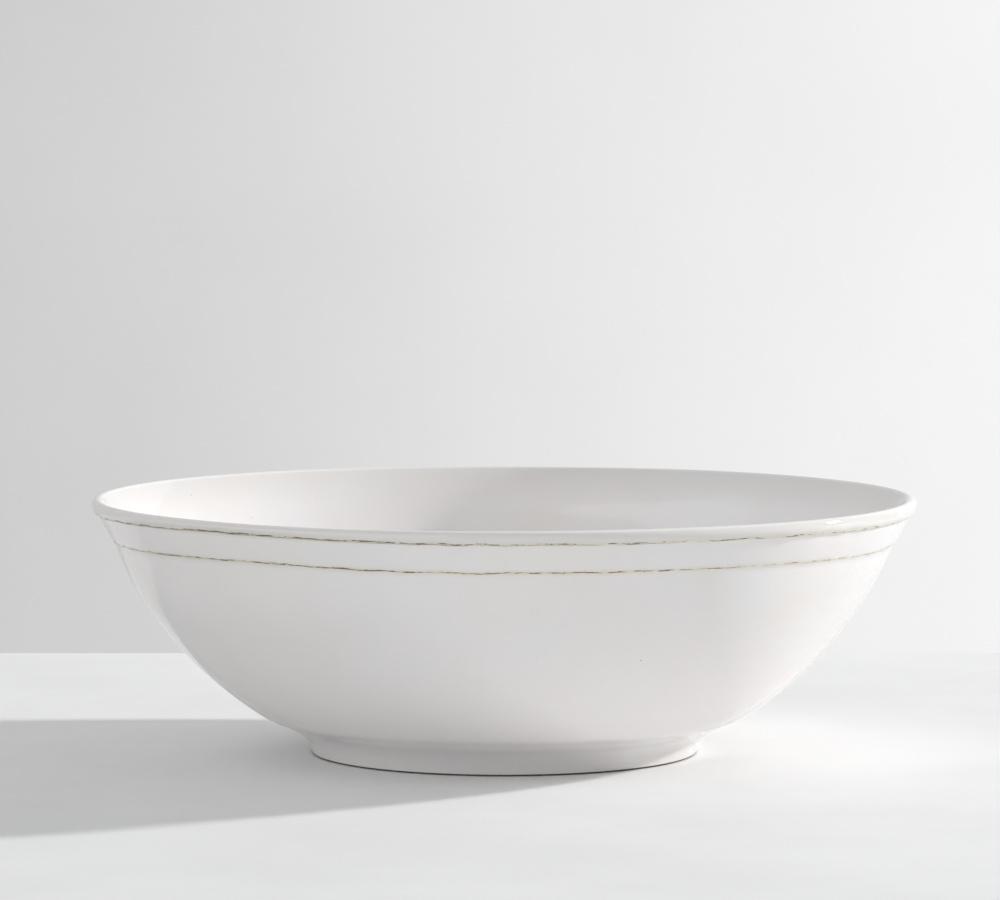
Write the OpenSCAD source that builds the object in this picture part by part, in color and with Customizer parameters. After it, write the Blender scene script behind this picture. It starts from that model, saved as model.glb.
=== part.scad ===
// Wide, low serving bowl: a turned wall on a foot ring, with a raised band and a rolled lip.
// Every piece is a solid of revolution about +Z, and the origin is the middle of the foot on the table.
// Outlines are [radius, height] points in millimetres. They run with the air on their left-hand side
// and the clay on their right, so a coat is what lies between an outline and the same outline moved right.

/* [Overall] */
// Diameter across the lip
bowl_d = 340; // [320:1:360]
// Height from the table to the top of the lip
bowl_h = 106; // [100:1:112]

/* [Foot] */
// Diameter of the foot just above the table
foot_d = 158.8; // [154:0.2:164]
// Width of the foot ring at its base
foot_w = 6.4; // [5:0.2:9]
// Depth of the recess inside the foot
recess_h = 6.4; // [5.6:0.1:7]
// Height at which the foot begins to curve out into the underside
foot_h = 2.4; // [2:0.1:3.6]

/* [Belly] */
// Diameter of the ridge where the underside turns into the belly
ridge_d = 200.2; // [194:0.2:206]
// Height of that ridge
ridge_z = 16.2; // [15.8:0.1:17.6]
// Radius of the belly's curve
belly_r = 150; // [130:1:180]
// Thickness of the wall with its glaze
wall_t = 5.2; // [4.6:0.1:6]
// Height of the floor inside
floor_z = 13; // [12:0.1:13.6]

/* [Rim] */
// Height of the lip
lip_h = 5.4; // [5:0.1:6.5]
// Radius of the lip's rounded top
lip_r = 2.4; // [2:0.1:2.8]
// How far the lip stands out over the band
lip_step = 1.3; // [0.8:0.1:1.8]
// Height of the band, from the lip's lower edge to its own
band_h = 11.4; // [9:0.1:14]
// How much the band draws in over its height
band_draw = 5.8; // [4.6:0.1:6.4]
// How far the band stands out from the belly
band_step = 0.6; // [0.5:0.1:1.2]

/* [Coats] */
// Thickness of the glaze
glaze_t = 0.45; // [0.3:0.05:0.6]
// Height of the bare clay around the edge of the foot
bare_h = 0.7; // [0.6:0.1:1.6]
// Width of the upper brown line on each side of its edge
upper_line_w = 0.7; // [0.5:0.1:0.8]
// Width of the lower brown line on each side of its edge
lower_line_w = 0.5; // [0.4:0.1:0.6]

/* [Hidden] */

clay_colour = "#d9c9ae";
band_colour = "#cdbb9d";
lip_colour = "#c4b191";
foot_colour = "#d0bd9c";
glaze_colour = "#efece3";
band_glaze_colour = "#e9e5da";
outer_glaze_colour = "#ebe8df";
wash_colour = "#6b5138";

// Slopes and small radii that the proportions above don't drive, in degrees and millimetres
lip_start = 135; // where the lip's round top begins, inside
lip_end = -15; // where it runs into the lip's outer face
lip_tuck = 1.4; // how far the lip's lower edge lies inside the full diameter
lip_sag = 0.5; // drop of the lip's underside from its edge to the band
band_sag = 0.5; // drop of the band's underside from its edge to the belly
band_bulge_r = 90; // radius of the band's soft swell
band_top_t = 1.2; // thickness of the band's clay where it meets the lip
inner_slope = 68; // slope of the wall inside where it begins to flare to the lip
foot_lean = 0.7; // how far the foot spreads from the table up to that curve
under_slope = 25; // slope of the underside where it leaves the ridge
well_r = 2; // radius of the recess's inner corner
well_lean = 0.8; // how far the recess narrows from the table to its ceiling
foot_edge_r = 0.5; // radius of the foot's two bare edges

// Geometry helpers
function unit(v) = v / norm(v);
function right_of(a, b) = let (u = unit(b - a)) [u.y, -u.x];
function on_arc(centre, r, angle) = centre + r * [cos(angle), sin(angle)];
function arc(centre, r, from, to, steps) =
    [for (i = [0 : steps]) on_arc(centre, r, from + (to - from) * i / steps)];
function heading(v) = atan2(v.y, v.x);
function turn(from, to) = (to - from + 540) % 360 - 180;
function slice(list, from, to) = [for (i = [from : to]) list[i]];
function backwards(list) = [for (i = [len(list) - 1 : -1 : 0]) list[i]];
function last(list) = list[len(list) - 1];

// Centre of the arc of radius r from a to b that bulges to the right of the way
function arc_centre(a, b, r) =
    let (half = norm(b - a) / 2)
    (a + b) / 2 - right_of(a, b) * sqrt(r * r - half * half);

// Round corner of radius r at k, between the straight ways from a and to b
function fillet(a, k, b, r, steps) =
    let (
        u = unit(a - k),
        v = unit(b - k),
        half = acos(u * v) / 2,
        centre = k + unit(u + v) * r / sin(half),
        from = heading(k + u * r / tan(half) - centre),
        to = heading(k + v * r / tan(half) - centre)
    )
    arc(centre, r, from, from + turn(from, to), steps);

// Cubic curve from a, leaving at slope_a, to b, arriving at slope_b
function blend(a, slope_a, b, slope_b, steps) =
    let (
        reach = norm(b - a) / 3,
        c = on_arc(a, reach, slope_a),
        d = on_arc(b, -reach, slope_b)
    )
    [for (i = [0 : steps]) let (t = i / steps, s = 1 - t)
        s * s * s * a + 3 * s * s * t * c + 3 * s * t * t * d + t * t * t * b];

// The outline moved to its right by d, with mitred corners
function shifted(path, d) =
    let (last = len(path) - 1)
    [for (i = [0 : last]) let (
        n = right_of(path[max(i - 1, 0)], path[max(i, 1)]),
        m = right_of(path[min(i, last - 1)], path[min(i + 1, last)])
    ) path[i] + (n + m) * d / (1 + n * m)];

// Main points of the section
bowl_r = bowl_d / 2;
lip_centre = [bowl_r - lip_r, bowl_h - lip_r];
lip_edge = [bowl_r - lip_tuck, bowl_h - lip_h];
band_top = lip_edge - [lip_step, lip_sag];
band_edge = [band_top.x - band_draw, lip_edge.y - band_h];
belly_top = band_edge - [band_step, band_sag];
ridge = [ridge_d / 2, ridge_z];
foot_base = [foot_d / 2, 0];
foot_neck = [foot_d / 2 + foot_lean, foot_h];

// Inside: the floor, the turn into the wall, the wall beside the belly and the flare to the lip
belly_centre = arc_centre(ridge, belly_top, belly_r);
belly_start = heading(ridge - belly_centre);
inner_r = belly_r - wall_t;
turn_end = on_arc(belly_centre, inner_r, belly_start);
turn_slope = belly_start + 90;
turn_r = (turn_end.y - floor_z) / (1 - cos(turn_slope));
turn_centre = [turn_end.x - turn_r * sin(turn_slope), floor_z + turn_r];
inner_end = inner_slope - 90;
inside = concat(
    [[0, floor_z]],
    slice(arc(turn_centre, turn_r, -90, belly_start, 8), 0, 7),
    slice(arc(belly_centre, inner_r, belly_start, inner_end, 14), 0, 13),
    slice(blend(on_arc(belly_centre, inner_r, inner_end), inner_slope,
                on_arc(lip_centre, lip_r, lip_start), lip_start - 90, 6), 0, 5)
);

// Outside, from the lip down to where the glaze stops on the foot
lip = arc(lip_centre, lip_r, lip_start, lip_end, 10);
upper_edge = [
    lip_edge + unit(last(lip) - lip_edge) * upper_line_w,
    lip_edge,
    lip_edge + unit(band_top - lip_edge) * upper_line_w
];
band_centre = arc_centre(band_edge, band_top, band_bulge_r);
swell = arc(band_centre, band_bulge_r, heading(band_top - band_centre), heading(band_edge - band_centre), 5);
band = slice(swell, 0, len(swell) - 2);
lower_edge = [
    band_edge + unit(last(band) - band_edge) * lower_line_w,
    band_edge,
    band_edge + unit(belly_top - band_edge) * lower_line_w
];
belly = arc(belly_centre, belly_r, heading(belly_top - belly_centre), belly_start, 18);
hollow = blend(ridge, 180 + under_slope, foot_neck, heading(foot_base - foot_neck), 10);
underside = slice(hollow, 1, len(hollow) - 1);
glaze_stop = foot_base + (foot_neck - foot_base) * bare_h / foot_h;

glazed = concat(inside, lip, upper_edge, band, lower_edge, belly, underside, [glaze_stop]);
clay = shifted(glazed, glaze_t);
last_i = len(glazed) - 1;
joint_i = len(inside) - 1; // inner end of the joint under the lip
upper_i = len(inside) + len(lip); // the upper line's first point
band_i = upper_i + len(upper_edge); // the hollow under the lip
lower_i = band_i + len(band); // the lower line's first point
belly_i = lower_i + len(lower_edge); // the hollow under the band
foot_i = belly_i + len(belly) + 6; // outer end of the joint over the foot

// Recess in the foot, from where its glaze stops to the axis
well_base = [foot_d / 2 - foot_w, 0];
well_corner = [well_base.x - well_lean, recess_h];
well_stop = well_base + (well_corner - well_base) * bare_h / recess_h;
well = concat([well_stop], fillet(well_base, well_corner, [0, recess_h], well_r, 5), [[0, recess_h]]);
well_clay = shifted(well, glaze_t);
ceiling_i = len(well) - 2; // inner end of the joint over the foot

// Where the wall, the band and the lip meet
joint = clay[band_i] + unit(clay[joint_i] - clay[band_i]) * band_top_t;

// The foot's two bare edges, under the coats
base_shift = [glaze_t, 0];
foot_edges = concat(
    fillet(clay[last_i], foot_base - base_shift, well_base, foot_edge_r, 4),
    fillet(foot_base, well_base + base_shift, well_clay[0], foot_edge_r, 4)
);

module turned(colour, outline) {
    color(colour) rotate_extrude($fn = 180) polygon(outline);
}

// What lies between two outlines that have the same number of points
module coat(colour, outside, inside) {
    turned(colour, concat(outside, backwards(inside)));
}

module glazed_coat(colour, from, to) {
    coat(colour, slice(glazed, from, to), slice(clay, from, to));
}

// Clay, in the pieces it is built from
module bowl_wall() {
    turned(clay_colour, concat(
        slice(clay, 0, joint_i),
        [joint],
        slice(clay, belly_i, foot_i),
        slice(well_clay, ceiling_i, ceiling_i + 1)
    ));
}

module foot_ring() {
    turned(foot_colour, concat(slice(clay, foot_i, last_i), foot_edges, slice(well_clay, 0, ceiling_i)));
}

module rim_band() {
    turned(band_colour, concat(slice(clay, band_i, belly_i), [joint]));
}

module rolled_lip() {
    turned(lip_colour, concat(slice(clay, joint_i, band_i), [joint]));
}

// Glaze: inside and over the lip, on the band, on the belly and foot, and in the foot's recess
module main_glaze() {
    glazed_coat(glaze_colour, 0, upper_i);
}

module band_glaze() {
    glazed_coat(band_glaze_colour, upper_i + 2, lower_i);
}

module outer_glaze() {
    glazed_coat(outer_glaze_colour, lower_i + 2, last_i);
}

module foot_well_glaze() {
    coat(outer_glaze_colour, well, well_clay);
}

// Brown oxide, where the glaze breaks over the two edges
module upper_line_wash() {
    glazed_coat(wash_colour, upper_i, upper_i + 2);
}

module lower_line_wash() {
    glazed_coat(wash_colour, lower_i, lower_i + 2);
}

bowl_wall();
foot_ring();
rim_band();
rolled_lip();
main_glaze();
band_glaze();
outer_glaze();
foot_well_glaze();
upper_line_wash();
lower_line_wash();
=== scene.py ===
"""A wide, low serving bowl in glossy white glaze, on a pale table.

Each piece is turned from its own section in the CAD frame, in metres. The sections are smoothed, their
corners rounded, and every piece is bent by the same hand-made unevenness, so that they still meet.
"""

import math

import bpy
import numpy as np
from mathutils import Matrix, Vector


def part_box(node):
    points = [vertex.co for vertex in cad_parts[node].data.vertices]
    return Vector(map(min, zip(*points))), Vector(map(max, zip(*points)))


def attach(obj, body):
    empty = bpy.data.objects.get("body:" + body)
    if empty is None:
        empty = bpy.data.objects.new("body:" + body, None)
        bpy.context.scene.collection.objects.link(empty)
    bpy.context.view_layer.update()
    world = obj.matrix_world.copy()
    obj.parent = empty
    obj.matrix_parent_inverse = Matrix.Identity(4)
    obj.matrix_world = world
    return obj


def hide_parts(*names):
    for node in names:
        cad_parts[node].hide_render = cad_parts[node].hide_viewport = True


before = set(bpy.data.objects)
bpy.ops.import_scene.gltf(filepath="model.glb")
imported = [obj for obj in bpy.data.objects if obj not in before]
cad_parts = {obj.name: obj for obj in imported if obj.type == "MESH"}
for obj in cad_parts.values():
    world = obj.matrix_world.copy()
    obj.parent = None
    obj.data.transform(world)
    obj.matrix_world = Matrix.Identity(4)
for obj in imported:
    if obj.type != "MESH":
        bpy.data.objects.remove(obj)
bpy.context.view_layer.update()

MM = 0.001
BOWL_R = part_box("main_glaze")[1].x
BOWL_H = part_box("main_glaze")[1].z

# ---------------------------------------------------------------- sections, as [radius, height] points

AXIS_GAP = 1e-6  # a point nearer the axis than this lies on it
DECIMALS = 7  # points that agree to this many decimals of a metre are the same one
STRAIGHT = math.radians(0.2)  # an outline that turns less than this is straight there
CORNER = math.radians(28)  # one that turns more than this has a corner there
GLAZE_T = 0.5 * MM  # no coat is thicker, so an edge this short is where two coats meet
CORNER_R = 0.7 * MM  # how far glaze rounds a corner
FREE_EDGE_R = 0.16 * MM  # and how far it rounds its own edge, where it stops above the table
FOOT_EDGE_H = 2 * MM  # the coats' free edges lie lower than this
ARC_SHARE = 0.45  # the most of a corner's shorter side that its arc may take
ARC_STEPS = 5  # faces in each arc
LONG = 9 * MM  # a stretch longer than this is straight
RATHER_LONG = 3 * MM  # so is one longer than this that is also
FAR_LONGER = 2.2  # this many times as long as the stretch beside it
RING_STEP = 5 * MM  # spacing of the rings of faces
RING_BEND = math.radians(7)  # and how far the surface may turn between two


def seam_outline(node):
    """The node's section as a closed loop, read along the seam of its surfaces at +X."""
    mesh = node.data
    spots = {
        v.index: (round(v.co.x, DECIMALS), round(v.co.z, DECIMALS))
        for v in mesh.vertices
        if abs(v.co.y) < AXIS_GAP and v.co.x > AXIS_GAP
    }
    links = {}
    for edge in mesh.edges:
        a, b = (spots.get(i) for i in edge.vertices)
        if a and b and a != b:
            links.setdefault(a, set()).add(b)
            links.setdefault(b, set()).add(a)
    ends = sorted(s for s in links if len(links[s]) == 1)
    loop = [ends[0] if ends else min(links)]
    left = set(links) - set(loop)
    while True:
        ahead = sorted(links[loop[-1]] & left)
        if not ahead:
            break
        loop.append(ahead[0])
        left.discard(ahead[0])
    if ends and abs(loop[0][1] - loop[-1][1]) > AXIS_GAP:
        loop += [(0.0, loop[-1][1]), (0.0, loop[0][1])]
    loop = np.array(loop)
    return np.array([b for a, b, c in neighbours(loop) if abs(turn(a, b, c)) > STRAIGHT])


def neighbours(loop):
    """Each point of the loop with the ones before and after it."""
    return zip(np.roll(loop, 1, axis=0), loop, np.roll(loop, -1, axis=0))


def heading(v):
    """The angle of the way that v points."""
    return math.atan2(v[1], v[0])


def pointing(angle):
    """The unit vector at this angle."""
    return np.array([math.cos(angle), math.sin(angle)])


def turn(a, b, c):
    """How far the way from a through b to c turns at b, anticlockwise."""
    return (heading(c - b) - heading(b - a) + math.pi) % (2 * math.pi) - math.pi


def outward(loop):
    """The loop in the order that makes faces look outward."""
    x, y = loop[:, 0], loop[:, 1]
    area = np.sum(x * np.roll(y, -1) - np.roll(x, -1) * y)
    return loop if area < 0 else loop[::-1]


def rounded(loop):
    """The loop with an arc in place of each corner that glaze rounds."""
    out = []
    for a, b, c in neighbours(loop):
        before, after = np.linalg.norm(b - a), np.linalg.norm(c - b)
        shorter = min(before, after)
        bend = turn(a, b, c)
        meets_coat = shorter < GLAZE_T
        free_edge = b[1] < FOOT_EDGE_H
        if abs(bend) < CORNER or b[0] < AXIS_GAP or (meets_coat and not free_edge):
            out.append(b)
            continue
        reach = math.tan(abs(bend) / 2)
        radius = min(FREE_EDGE_R if meets_coat else CORNER_R, ARC_SHARE * shorter / reach)
        start = b - (b - a) / before * radius * reach
        centre = start + radius * pointing(heading(b - a) + math.copysign(math.pi / 2, bend))
        first = heading(start - centre)
        for k in range(ARC_STEPS + 1):
            out.append(centre + radius * pointing(first + bend * k / ARC_STEPS))
    return np.array(out)


def is_break(a, b, c):
    """True where a curve ends: at a corner, or where a long straight begins."""
    short, long = sorted((np.linalg.norm(b - a), np.linalg.norm(c - b)))
    straight = long > LONG or long > max(FAR_LONGER * short, RATHER_LONG)
    return abs(turn(a, b, c)) > CORNER or straight or b[0] < AXIS_GAP


def tangents(points):
    """Unit directions of the circles through each three neighbours."""
    ways = np.diff(points, axis=0)
    lengths = np.linalg.norm(ways, axis=1)
    units = ways / lengths[:, None]
    if len(points) == 2:
        return np.array([units[0], units[0]])
    middle = units[:-1] * lengths[1:, None] + units[1:] * lengths[:-1, None]
    middle /= np.linalg.norm(middle, axis=1)[:, None]
    first = 2 * (units[0] @ middle[0]) * units[0] - middle[0]
    last = 2 * (units[-1] @ middle[-1]) * units[-1] - middle[-1]
    return np.vstack([first, middle, last])


def smoothed(loop):
    """The loop with curves through its points, in rings as close as their spacing asks."""
    breaks = [i for i, around in enumerate(neighbours(loop)) if is_break(*around)] or [0]
    out = []
    for start, stop in zip(breaks, breaks[1:] + [breaks[0] + len(loop)]):
        run = np.array([loop[i % len(loop)] for i in range(start, stop + 1)])
        ways = tangents(run)
        for a, b, u, v in zip(run[:-1], run[1:], ways[:-1], ways[1:]):
            length = np.linalg.norm(b - a)
            bend = math.acos(min(1, u @ v))
            parts = max(1, math.ceil(length / RING_STEP), math.ceil(bend / RING_BEND))
            for k in range(parts):
                t = k / parts
                out.append(
                    (2 * t**3 - 3 * t**2 + 1) * a + (t**3 - 2 * t**2 + t) * length * u
                    + (3 * t**2 - 2 * t**3) * b + (t**3 - t**2) * length * v
                )
    return np.array(out)


# ---------------------------------------------------------------- hand-made unevenness

SEED = 11
draw = np.random.RandomState(SEED)


def waves(orders, size, fall=0.0):
    """A list of (order, amplitude, phase) that adds up to a smooth uneven ring.

    An amplitude is 0.6 to 1 of the size, or less for the higher orders where it falls off.
    """
    return [(k, size * k**-fall * draw.uniform(0.6, 1.0), draw.uniform(0, 2 * math.pi)) for k in orders]


OUT_OF_ROUND = waves(range(2, 7), 0.28 * MM, 0.8)
RIM_LEVEL = waves(range(2, 8), 0.16 * MM, 0.7)
WAVER = {
    "upper": waves(range(14, 75, 3), 0.035 * MM),
    "lower": waves(range(11, 66, 3), 0.030 * MM),
}
WAVER_OUT = 0.7  # how far an edge strays outwards for each millimetre that it strays up
WAVER_LAG = 0.05  # and how far round, in radians, that lags behind
THROWING = waves(range(1, 4), 0.9)  # how far the throwing rings stray, in radians of their pitch
THROWING_PITCH = 7.5 * MM
THROWING_DEPTH = 0.02 * MM
FACETS = waves(range(7, 25, 2), 0.028 * MM)
FACETS_LEAN = 9  # how far round they lean on the way up, in radians for each metre
BAND_LIFTS = ((231, 22, 1.4 * MM), (335, 20, -0.8 * MM))  # where the band strays: angle, spread, height
BULGE = (180, 50, 67 * MM, 10 * MM, 1.0 * MM)  # the belly's swell: angle, spread, height, spread, depth

# Heights between which an unevenness begins or ends
BODY_BEGINS = (3 * MM, 13 * MM)  # the foot stands flat below
BAND_BEGINS = (72 * MM, 88 * MM)
BAND_ENDS = (101.5 * MM, 105.5 * MM)


def worn_edge(node):
    """The corner that a brown line runs along, the furthest out and down, and the way up over it."""
    loop = seam_outline(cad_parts[node])
    i = int(np.argmax(loop[:, 0] - loop[:, 1]))
    way = loop[(i + 1) % len(loop)] - loop[i - 1]
    return loop[i], way * np.sign(way[1]) / np.linalg.norm(way)


EDGES = {"upper": worn_edge("upper_line_wash"), "lower": worn_edge("lower_line_wash")}
EDGE_REACH = 3 * MM  # how far from an edge its own waver is felt
LINE_REACH = 5 * MM  # no brown is further from its edge than this


def ring(wave_list, theta, drift=0.0):
    """The height of the waves at this angle, with their pattern turned back by the drift."""
    return sum(a * np.cos(k * theta + phase + drift * k) for k, a, phase in wave_list)


def fade(value, start, stop):
    """A smooth way from 0 at start to 1 at stop."""
    t = np.clip((value - start) / (stop - start), 0, 1)
    return t * t * (3 - 2 * t)


def hump(value, middle, spread):
    """A smooth hump, 1 in the middle."""
    return np.exp(-(((value - middle) / spread) ** 2))


def bent(r, z, theta):
    """Where hand work puts the point of an even bowl at radius r, height z and angle theta."""
    degrees = np.degrees(theta)
    rise = np.clip(z / BOWL_H, 0, 1)
    wide = np.clip(r / BOWL_R, 0, 1)
    throwing = THROWING_DEPTH * np.sin(2 * math.pi * z / THROWING_PITCH + ring(THROWING, theta))
    angle, spread, height, reach, depth = BULGE
    dr = wide * (
        rise * ring(OUT_OF_ROUND, theta)
        + fade(z, *BODY_BEGINS) * (throwing + ring(FACETS, theta, FACETS_LEAN * z))
        + depth * hump(degrees, angle, spread) * hump(z, height, reach)
    )
    dz = wide * rise**3 * ring(RIM_LEVEL, theta)
    in_band = fade(z, *BAND_BEGINS) * (1 - fade(z, *BAND_ENDS))
    for angle, spread, lift in BAND_LIFTS:
        dz = dz + lift * in_band * hump(degrees, angle, spread)
    for key, waver in WAVER.items():
        edge = EDGES[key][0]
        distance_squared = (r - edge[0]) ** 2 + (z - edge[1]) ** 2
        close = np.exp(-2 * distance_squared / EDGE_REACH**2)
        dz = dz + close * ring(waver, theta)
        dr = dr + close * WAVER_OUT * ring(waver, theta + WAVER_LAG)
    return r + dr, z + dz


# ---------------------------------------------------------------- turned pieces

# Faces round the bowl
CLAY_SEGMENTS = 360
COAT_SEGMENTS = 540
SHARP = math.radians(38)  # faces that meet at more than this have a sharp edge between them


def edge_values(point):
    """For each worn edge: how far above it the surface is, and how surely it is that edge's own surface."""
    values = {}
    for key, (edge, way) in EDGES.items():
        values[key + "_gap"] = (point - edge) @ way
        share = np.linalg.norm(point - edge) / LINE_REACH
        values[key + "_near"] = min(max(2 * (1 - share), 0), 1)  # whole within half the reach
    return values


def turned_mesh(name, loop, segments):
    """A closed mesh turned from the loop about +Z and bent by hand-made unevenness."""
    theta = np.arange(segments) * 2 * math.pi / segments
    verts, first, size = [], [], []
    values = {}
    total = 0
    for point in loop:
        angles = theta if point[0] > AXIS_GAP else theta[:1]
        radii, heights = bent(*point, angles)
        verts.append(np.stack([radii * np.cos(angles), radii * np.sin(angles), heights], 1))
        for key, value in edge_values(point).items():
            values.setdefault(key, []).append(np.full(len(angles), value))
        first.append(total)
        size.append(len(angles))
        total += len(angles)
    faces = []
    here = np.arange(segments)
    ahead = (here + 1) % segments
    for i in range(len(loop)):
        j = (i + 1) % len(loop)
        a, b = first[i], first[j]
        if size[i] > 1 and size[j] > 1:
            faces += np.stack([a + here, a + ahead, b + ahead, b + here], 1).tolist()
        elif size[i] > 1:
            faces += [[a + h, a + k, b] for h, k in zip(here, ahead)]
        elif size[j] > 1:
            faces += [[a, b + k, b + h] for h, k in zip(here, ahead)]
    mesh = bpy.data.meshes.new(name)
    mesh.from_pydata(np.concatenate(verts).tolist(), [], faces)
    for key, parts in values.items():
        mesh.attributes.new(key, "FLOAT", "POINT").data.foreach_set("value", np.concatenate(parts))
    mesh.shade_smooth()
    mesh.set_sharp_from_angle(angle=SHARP)
    return mesh


def turned_piece(name, node, material, segments):
    """A piece of the visual model that stands for one CAD node."""
    outline = rounded(outward(seam_outline(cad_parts[node])))
    piece = bpy.data.objects.new(name, turned_mesh(name, smoothed(outline), segments))
    bpy.context.scene.collection.objects.link(piece)
    piece.data.materials.append(material)
    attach(piece, "root")
    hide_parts(node)


# ---------------------------------------------------------------- materials

SHIFT_WAY = (1.0, 2.3, -1.7)  # the way that a shift moves a noise


class Shader:
    """The node tree of a material or world, built with short calls.

    A socket takes a number, a colour or another socket.
    """

    def __init__(self, owner, place="Object"):
        owner.use_nodes = True
        self.owner = owner
        self.tree = owner.node_tree
        self.tree.nodes.clear()
        self.place = self.node("ShaderNodeTexCoord").outputs[place]

    def node(self, kind, inputs=None, **settings):
        made = self.tree.nodes.new(kind)
        for key, value in settings.items():
            setattr(made, key, value)
        for key, value in (inputs or {}).items():
            if isinstance(value, bpy.types.NodeSocket):
                self.tree.links.new(value, made.inputs[key])
            else:
                made.inputs[key].default_value = value
        return made

    def math(self, operation, a, b=0.0, c=0.0):
        return self.node("ShaderNodeMath", {0: a, 1: b, 2: c}, operation=operation).outputs[0]

    def times(self, a, b):
        return self.math("MULTIPLY", a, b)

    def sway(self, base, noise, size):
        """The base value, moved up and down by noise as far as this size."""
        return self.math("MULTIPLY_ADD", self.math("SUBTRACT", noise, 0.5), size, base)

    def rise(self, value, low, high, start=0.0, end=1.0):
        """A smooth way from start, where the value is low, to end, where it is high."""
        inputs = {"Value": value, "From Min": low, "From Max": high, "To Min": start, "To Max": end}
        return self.node("ShaderNodeMapRange", inputs, interpolation_type="SMOOTHSTEP").outputs[0]

    def fall(self, value, low, high, start=1.0, end=0.0):
        """The same way, from 1 to 0 unless it says otherwise."""
        return self.rise(value, low, high, start, end)

    def noise(self, scale, detail=2.0, roughness=0.5, shift=0.0, at=None):
        """Noise with this many features to a unit of length. Another shift gives another pattern."""
        where = at or self.place
        if shift:
            inputs = {0: where, 1: [shift * way for way in SHIFT_WAY]}
            where = self.node("ShaderNodeVectorMath", inputs, operation="ADD").outputs[0]
        inputs = {"Vector": where, "Scale": scale, "Detail": detail, "Roughness": roughness}
        return self.node("ShaderNodeTexNoise", inputs).outputs[0]

    def spots(self, scale, inner, outer, most=1.0):
        """Round spots at random in cells, this many to a metre, with radii in cells."""
        cells = self.node("ShaderNodeTexVoronoi", {"Vector": self.place, "Scale": scale})
        return self.fall(cells.outputs["Distance"], inner, outer, most)

    def mix(self, amount, a, b):
        return self.node("ShaderNodeMix", {0: amount, 6: a, 7: b}, data_type="RGBA").outputs[2]

    def attribute(self, name):
        return self.node("ShaderNodeAttribute", attribute_name=name).outputs["Fac"]

    def along(self, axis):
        return self.node("ShaderNodeSeparateXYZ", {0: self.place}).outputs[axis]

    def cosine(self, a, b):
        """The cosine of the angle between two unit vectors."""
        return self.node("ShaderNodeVectorMath", {0: a, 1: b}, operation="DOT_PRODUCT").outputs["Value"]

    def around(self):
        """A point on the unit circle, at the same angle about the bowl's axis."""
        flat = self.node("ShaderNodeVectorMath", {0: self.place, 1: (1, 1, 0)}, operation="MULTIPLY")
        return self.node("ShaderNodeVectorMath", {0: flat.outputs[0]}, operation="NORMALIZE").outputs[0]

    def finish(self, colour, roughness, height, depth, ior):
        """The owner, with a surface whose relief is the height times the depth."""
        bump = self.node("ShaderNodeBump", {"Height": height, "Distance": depth, "Strength": 1.0})
        inputs = {"Base Color": colour, "Roughness": roughness, "Normal": bump.outputs[0], "IOR": ior}
        surface = self.node("ShaderNodeBsdfPrincipled", inputs)
        self.node("ShaderNodeOutputMaterial", {"Surface": surface.outputs[0]})
        return self.owner


# Colours
GLAZE = (0.80, 0.775, 0.760, 1)
GLAZE_WARM = (0.775, 0.738, 0.705, 1)
GLAZE_COOL = (0.785, 0.775, 0.778, 1)
# painted light: the lighter glaze colour for the lower belly
GLAZE_PAINTED_LIGHT = (0.875, 0.850, 0.835, 1)
# painted shade: the greyer glaze colour for the foot and for near the rim
GLAZE_PAINTED_SHADE = (0.66, 0.635, 0.61, 1)
STAIN = (0.70, 0.63, 0.45, 1)
BROWN = (0.10, 0.065, 0.035, 1)
CLAY = (0.55, 0.47, 0.37, 1)
CLAY_DARK = (0.40, 0.32, 0.24, 1)
# grime and painted contact shadow along the foot's bare edge
GRIME_AND_CONTACT_SHADE = (0.035, 0.030, 0.026, 1)
TABLE_DARK = (0.80, 0.80, 0.80, 1)
TABLE_LIGHT = (0.84, 0.84, 0.84, 1)
ROOM_WHITE = (0.98, 0.99, 1.0, 1)

# How far each colour may cover what is under it
WARM_MOST = 0.45
# painted shade: how far the greyer glaze covers the white
PAINTED_SHADE_MOST = 0.6
SPECK_MOST = 0.75
STAIN_MOST = 0.6
BROWN_MOST = 0.95
GROG_MOST = 0.5
GRIME_AND_SHADE_MOST = 0.9
GRIME_AND_SHADE_BELOW = 0.1  # on the face that the foot stands on

# Heights between which the surface changes
# grime and painted contact shadow along the foot's bare edge, between these heights
FOOT_GRIME_AND_SHADE_BEGINS = (0.0, 0.2 * MM)
FOOT_GRIME_AND_SHADE_ENDS = (0.6 * MM, 1.6 * MM)
# painted shade on the foot fades out between these heights
FOOT_PAINTED_SHADE_ENDS = (2 * MM, 10 * MM)
BELLY_LIGHT_BEGINS = (8 * MM, 14 * MM)  # painted light on the lower belly, standing for light from the table below
BELLY_LIGHT_ENDS = (18 * MM, 75 * MM)
# painted shade near the rim begins between these heights, on the band and on the inside, and ends at the
# top of the lip
BAND_PAINTED_SHADE_BEGINS = (100 * MM, 101.5 * MM)
INSIDE_PAINTED_SHADE_BEGINS = (88 * MM, 105 * MM)
PAINTED_SHADE_ENDS = (104.8 * MM, 105.8 * MM)  # at the top of the lip

# Relief: how deep each surface's grain is, and what else is in the glaze as multiples of its grain
GLAZE_GRAIN = 0.03 * MM
RIPPLE = 0.8
SPECK_SUNK = -3.0
BROWN_SUNK = -1.2
CLAY_GRAIN = 0.10 * MM
TABLE_GRAIN = 0.06 * MM

# Roughness and refraction
GLAZE_ROUGH = (0.02, 0.05)
BROWN_ROUGHER = 0.30
CLAY_ROUGH = (0.72, 0.92)
TABLE_ROUGH = 0.55
GLAZE_IOR = 1.5
CLAY_IOR = 1.45
TABLE_IOR = 1.4

SPECKS = (0.655, 0.67)  # levels of noise above which the glaze has specks
SPECK_ENDS = (0.025, 0.045)  # radii between which a speck ends, in cells
GROG_ENDS = (0.10, 0.22)  # and a dark grain in the clay

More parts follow.
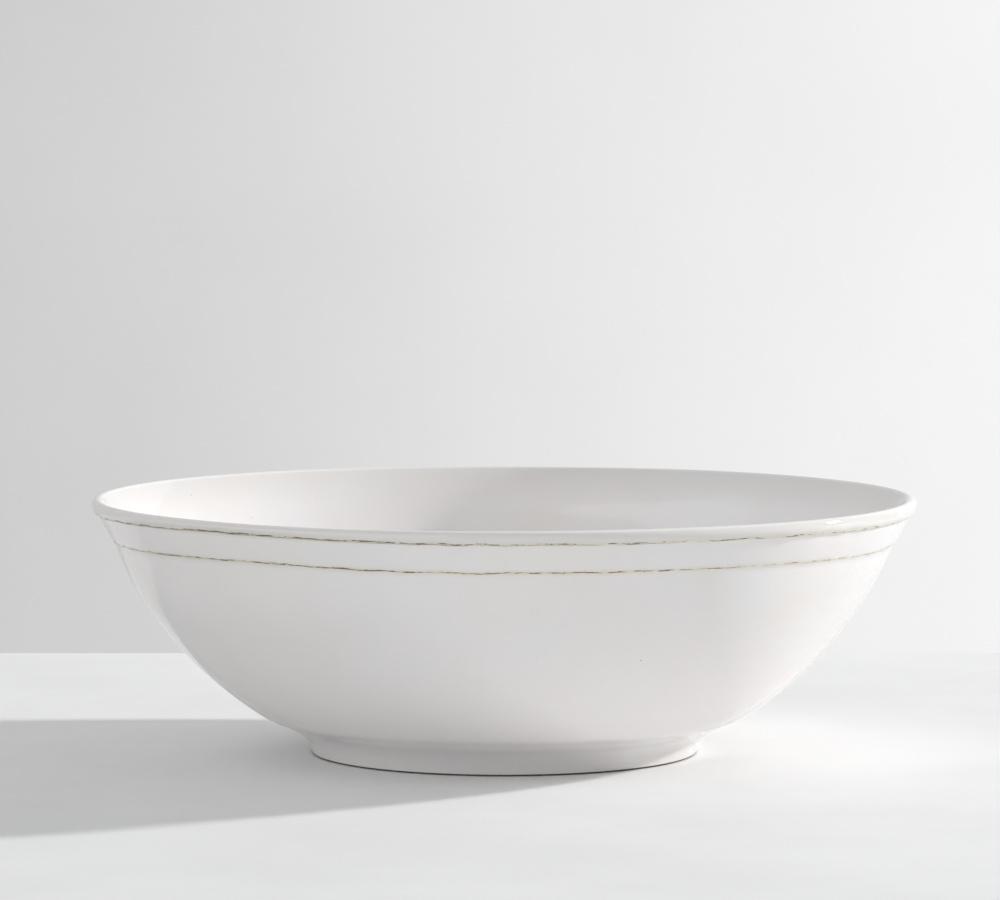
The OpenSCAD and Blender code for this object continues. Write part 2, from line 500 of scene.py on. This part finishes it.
# Each strand of a brown line: its noise, its place above the edge, how far it wanders and its half width
UPPER_STRANDS = (
    (1.0, -0.30 * MM, 0.35 * MM, 0.30 * MM),
    (17.0, 0.35 * MM, 0.40 * MM, 0.26 * MM),
    (29.0, 0.05 * MM, 0.55 * MM, 0.22 * MM),
)
LOWER_STRANDS = (
    (41.0, 0.0, 0.35 * MM, 0.30 * MM),
    (53.0, 0.25 * MM, 0.40 * MM, 0.16 * MM),
)
SLOW_WANDER = 3.0  # multiples of how far it wanders
QUICK_WANDER = 1.7
RAGGED = 1.5  # multiples of its half width: how ragged it is
BROKEN = -0.5  # and how far it reaches where it has broken off
SWELLS = (0.36, 0.68)  # levels of noise at which it has broken off and at which it is whole
STRAND_ENDS = (-0.10 * MM, 0.14 * MM)  # distances past its reach between which its brown ends
HEAVY_WAY = (-0.80, -0.60, 0)  # the side of the bowl where the lines are heaviest
HEAVY_SPREAD = (-0.4, 0.9)  # the cosines between which they grow heavier
HEAVY_MORE = (-0.05, 0.04)  # and by how much, in levels of noise
STAIN_ENDS = (0.2 * MM, 2.1 * MM)  # distances from the edge between which the stain round a line ends
PATCHY = (0.4, 0.95)  # how strong the stain is at its weakest and at its strongest


def strand(s, gap, shift, offset, wander, width):
    """How brown one strand of oxide is: it wanders beside the edge, swells, thins and breaks off."""
    around = s.around()
    slow = s.noise(9.0, detail=1.0, shift=shift, at=around)
    quick = s.noise(34.0, detail=3.0, roughness=0.6, shift=shift + 3.1, at=around)
    middle = s.sway(offset, slow, SLOW_WANDER * wander)
    middle = s.sway(middle, quick, QUICK_WANDER * wander)
    heavier = s.rise(s.cosine(around, HEAVY_WAY), *HEAVY_SPREAD, *HEAVY_MORE)
    swell = s.noise(26.0, detail=3.0, roughness=0.65, shift=shift + 7.7, at=around)
    reach = s.rise(s.math("ADD", swell, heavier), *SWELLS, start=BROKEN * width, end=width)
    away = s.math("ABSOLUTE", s.math("SUBTRACT", gap, middle))
    away = s.sway(away, s.noise(800.0, detail=3.0, roughness=0.7, shift=shift), RAGGED * width)
    return s.fall(s.math("SUBTRACT", away, reach), *STRAND_ENDS)


def worn_line(s, key, strands):
    """How brown and how stained the glaze is around one edge."""
    gap = s.attribute(key + "_gap")
    near = s.attribute(key + "_near")
    brown = 0.0
    for shift, offset, wander, width in strands:
        brown = s.math("MAXIMUM", brown, strand(s, gap, shift, offset, wander, width))
    patchy = s.noise(20.0, detail=3.0, shift=strands[0][0] + 5, at=s.around())
    stain = s.fall(s.math("ABSOLUTE", gap), *STAIN_ENDS)
    stain = s.times(stain, s.rise(patchy, 0.30, 0.62, *PATCHY))
    return s.times(brown, near), s.times(stain, near)


def glaze_white(s, painted_shade_begins):
    """White that drifts in tone, made lighter on the lower belly by painted light, and greyer by painted
    shade on the foot and near the rim, though not on the lip's top.
    """
    drift = s.rise(s.noise(14.0, detail=3.0, roughness=0.55), 0.35, 0.65)
    pool = s.rise(s.noise(32.0, shift=4.0), 0.45, 0.75, end=WARM_MOST)
    level = s.along("Z")
    # painted light: the lower belly lighter, standing for light from the table below
    painted_light = s.times(s.fall(level, *BELLY_LIGHT_ENDS), s.rise(level, *BELLY_LIGHT_BEGINS))
    # painted shade: greyer near the rim and on the foot, but not on the lip's top
    shade_above = s.times(s.rise(level, *painted_shade_begins, end=PAINTED_SHADE_MOST), s.fall(level, *PAINTED_SHADE_ENDS))
    painted_shade = s.math("MAXIMUM", shade_above, s.fall(level, *FOOT_PAINTED_SHADE_ENDS, start=PAINTED_SHADE_MOST))
    colour = s.mix(drift, GLAZE_COOL, GLAZE)
    for amount, tone in ((pool, GLAZE_WARM), (painted_light, GLAZE_PAINTED_LIGHT), (painted_shade, GLAZE_PAINTED_SHADE)):
        colour = s.mix(amount, colour, tone)
    return colour


def glaze_material(name, worn, painted_shade_begins=BAND_PAINTED_SHADE_BEGINS):
    """Glossy white glaze with a few dark specks.

    Where worn, oxide shows in ragged lines along the edges of the lip and of the band.
    """
    s = Shader(bpy.data.materials.new(name))
    rare = s.rise(s.noise(60.0, detail=0.0, shift=9.0), *SPECKS)
    speck = s.times(s.spots(130.0, *SPECK_ENDS), rare)
    colour = s.mix(s.times(speck, SPECK_MOST), glaze_white(s, painted_shade_begins), BROWN)
    rough = s.rise(s.noise(48.0, detail=3.0, shift=2.0), 0.3, 0.7, *GLAZE_ROUGH)
    height = s.math("MULTIPLY_ADD", s.noise(70.0, shift=1.0), RIPPLE, s.noise(330.0, shift=6.0))
    height = s.math("MULTIPLY_ADD", speck, SPECK_SUNK, height)
    if worn:
        upper = worn_line(s, "upper", UPPER_STRANDS)
        lower = worn_line(s, "lower", LOWER_STRANDS)
        brown, stain = (s.math("MAXIMUM", *pair) for pair in zip(upper, lower))
        colour = s.mix(s.times(stain, STAIN_MOST), colour, STAIN)
        colour = s.mix(s.times(brown, BROWN_MOST), colour, BROWN)
        rough = s.math("MULTIPLY_ADD", brown, BROWN_ROUGHER, rough)
        height = s.math("MULTIPLY_ADD", brown, BROWN_SUNK, height)
    return s.finish(colour, rough, height, GLAZE_GRAIN, GLAZE_IOR)


def clay_material(name):
    """Bare fired clay: fine grain and darker grog specks, and grime with painted contact shadow where the
    foot stands on the table.
    """
    s = Shader(bpy.data.materials.new(name))
    tone = s.noise(90.0, detail=4.0, roughness=0.6)
    colour = s.mix(s.rise(tone, 0.35, 0.7), CLAY, CLAY_DARK)
    colour = s.mix(s.spots(900.0, *GROG_ENDS, most=GROG_MOST), colour, CLAY_DARK)
    level = s.along("Z")
    # painted contact shadow, with grime, along the foot's bare edge just above the table
    begins = s.rise(level, *FOOT_GRIME_AND_SHADE_BEGINS, start=GRIME_AND_SHADE_BELOW, end=GRIME_AND_SHADE_MOST)
    ends = s.fall(level, *FOOT_GRIME_AND_SHADE_ENDS, start=GRIME_AND_SHADE_MOST)
    colour = s.mix(s.math("MINIMUM", begins, ends), colour, GRIME_AND_CONTACT_SHADE)
    grain = s.noise(2600.0, detail=3.0, roughness=0.7)
    rough = s.rise(grain, 0.3, 0.7, *CLAY_ROUGH)
    return s.finish(colour, rough, s.math("ADD", grain, tone), CLAY_GRAIN, CLAY_IOR)


# ---------------------------------------------------------------- the bowl

plain_glaze = glaze_material("white_glaze_plain", worn=False)
worn_glaze = glaze_material("white_glaze", worn=True)
lip_glaze = glaze_material("white_glaze_over_lip", worn=True, painted_shade_begins=INSIDE_PAINTED_SHADE_BEGINS)
oxide = glaze_material("oxide_wash", worn=True)
clay = clay_material("fired_clay")

# Each coat: its name, the CAD node it stands for, its slot and its material
COATS = (
    ("glaze_inside_and_lip", "main_glaze", "white_glaze", lip_glaze),
    ("glaze_on_band", "band_glaze", "white_glaze", worn_glaze),
    ("glaze_on_belly_and_foot", "outer_glaze", "white_glaze", worn_glaze),
    ("glaze_in_foot_recess", "foot_well_glaze", "white_glaze", plain_glaze),
    ("upper_brown_line", "upper_line_wash", "oxide_wash", oxide),
    ("lower_brown_line", "lower_line_wash", "oxide_wash", oxide),
)
CLAY_MEMBERS = ("bowl_wall", "foot_ring", "rim_band", "rolled_lip")

for piece_name, node_name, slot_name, coat_material in COATS:
    turned_piece(piece_name, node_name, coat_material, COAT_SEGMENTS)
for node_name in CLAY_MEMBERS:
    turned_piece(node_name + "_clay", node_name, clay, CLAY_SEGMENTS)

# ---------------------------------------------------------------- table and wall

TABLE_BACK = 0.366
TABLE_FRONT = -4.0
TABLE_HALF = 3.0
WALL_Y = 6.0
WALL_HALF = 5.0
WALL_FOOT = -2.0
WALL_HEAD = 5.0
WALL_DIM = 0.60  # its brightness at the left of the view
WALL_BRIGHT = 0.93  # and at the right, where the light comes from
WALL_SPREAD = 1.1  # how far to each side that is
WALL_CLOUD = 0.015  # how much brighter and dimmer it is in patches


def stage_plane(name, corners, material):
    """A flat piece of the surroundings, which isn't part of the object."""
    mesh = bpy.data.meshes.new(name)
    mesh.from_pydata(corners, [], [(0, 1, 2, 3)])
    plane = bpy.data.objects.new(name, mesh)
    bpy.context.scene.collection.objects.link(plane)
    plane.data.materials.append(material)


def table_material():
    """Pale and nearly plain, with a faint grain."""
    s = Shader(bpy.data.materials.new("pale_table"))
    tone = s.rise(s.noise(9.0, detail=5.0, roughness=0.6), 0.3, 0.7)
    grain = s.noise(420.0, detail=4.0, roughness=0.65)
    colour = s.mix(tone, TABLE_DARK, TABLE_LIGHT)
    return s.finish(colour, TABLE_ROUGH, grain, TABLE_GRAIN, TABLE_IOR)


def wall_material():
    """A far pale wall that is lighter towards the side the light comes from."""
    s = Shader(bpy.data.materials.new("pale_wall"))
    across = s.rise(s.along("X"), -WALL_SPREAD, WALL_SPREAD, WALL_DIM, WALL_BRIGHT)
    cloud = s.rise(s.noise(1.6, detail=5.0, roughness=0.55), 0.3, 0.7, start=-WALL_CLOUD, end=WALL_CLOUD)
    level = s.math("ADD", across, cloud)
    colour = s.node("ShaderNodeCombineColor", {0: level, 1: level, 2: level}).outputs[0]
    glow = s.node("ShaderNodeEmission", {"Color": colour, "Strength": 1.0})
    s.node("ShaderNodeOutputMaterial", {"Surface": glow.outputs[0]})
    return s.owner


stage_plane(
    "table",
    [(-TABLE_HALF, TABLE_FRONT, 0), (TABLE_HALF, TABLE_FRONT, 0),
     (TABLE_HALF, TABLE_BACK, 0), (-TABLE_HALF, TABLE_BACK, 0)],
    table_material(),
)
stage_plane(
    "wall",
    [(-WALL_HALF, WALL_Y, WALL_FOOT), (WALL_HALF, WALL_Y, WALL_FOOT),
     (WALL_HALF, WALL_Y, WALL_HEAD), (-WALL_HALF, WALL_Y, WALL_HEAD)],
    wall_material(),
)

# ---------------------------------------------------------------- light, room and camera

KEY_WAY = Vector((0.875, 0.280, 0.395)).normalized()
KEY_DISTANCE = 5.0
KEY_AIM = Vector((0, 0, 0.05))
KEY_SIZE = 0.34  # m across
KEY_POWER = 238  # W

ROOM_LEVEL = 0.53
LIT_X = -0.25  # where the lighter wall in front begins, as the X of a unit direction
LIT_TOP = 0.66  # where it ends above, as the Z of one
LIT_EDGE = 0.008  # half the width over which the room's tone changes there
LIT_BACK = 0.2  # and half the width over which it changes from the front to the back, as the Y of one
LIT_MORE = 0.80  # how much it adds
# White low down: the way to it, how far round it reaches (a cosine), how high (a sine), how much it adds
FILLS = (
    ((-0.60, -0.80, 0.0), -0.3, 0.60, 0.15),
    ((0.80, -0.60, 0.0), 0.35, 0.25, 0.6),
)
FILL_FULL = 0.9  # a fill is whole within the angle that has this cosine
FILL_LOW = 0.05  # and below the height that has this sine

CAMERA_PLACE = (-0.00176, -2.1278, 0.27757)
CAMERA_DOWN = math.radians(4.1)  # how far it looks down
CAMERA_LENS = 186  # mm
CAMERA_FILM = 36  # mm, its width
CAMERA_SIGHT = 50  # m, how far it sees


def key_light():
    """One soft light, from far off on the right."""
    data = bpy.data.lights.new("key", "AREA")
    data.shape = "DISK"
    data.size = KEY_SIZE
    data.energy = KEY_POWER
    light = bpy.data.objects.new("key", data)
    light.location = KEY_WAY * KEY_DISTANCE
    light.rotation_mode = "QUATERNION"
    light.rotation_quaternion = (KEY_AIM - light.location).to_track_quat("-Z", "Y")
    light.visible_camera = False
    bpy.context.scene.collection.objects.link(light)


def soft_room():
    """Pale all round, with a lighter wall in front on the left and white low down on both sides."""
    s = Shader(bpy.data.worlds.new("room"), "Generated")
    across, ahead, up = (s.along(axis) for axis in "XYZ")
    lit = s.times(
        s.fall(across, LIT_X - LIT_EDGE, LIT_X + LIT_EDGE, start=LIT_MORE),
        s.fall(up, LIT_TOP - LIT_EDGE, LIT_TOP + LIT_EDGE),
    )
    level = s.math("MULTIPLY_ADD", lit, s.fall(ahead, -LIT_BACK, LIT_BACK), ROOM_LEVEL)
    for side, least, top, more in FILLS:
        near = s.rise(s.cosine(s.place, side), least, FILL_FULL, end=more)
        level = s.math("MULTIPLY_ADD", s.fall(up, FILL_LOW, top), near, level)
    background = s.node("ShaderNodeBackground", {"Color": ROOM_WHITE, "Strength": level})
    s.node("ShaderNodeOutputWorld", {"Surface": background.outputs[0]})
    bpy.context.scene.world = s.owner


def front_camera():
    """A long lens from the front, a little above the rim."""
    data = bpy.data.cameras.new("camera")
    data.sensor_width = CAMERA_FILM
    data.lens = CAMERA_LENS
    data.clip_end = CAMERA_SIGHT
    camera = bpy.data.objects.new("camera", data)
    camera.location = CAMERA_PLACE
    camera.rotation_euler = (math.pi / 2 - CAMERA_DOWN, 0, 0)
    bpy.context.scene.collection.objects.link(camera)
    bpy.context.scene.camera = camera


key_light()
soft_room()
front_camera()
bpy.context.scene.view_settings.view_transform = "Standard"
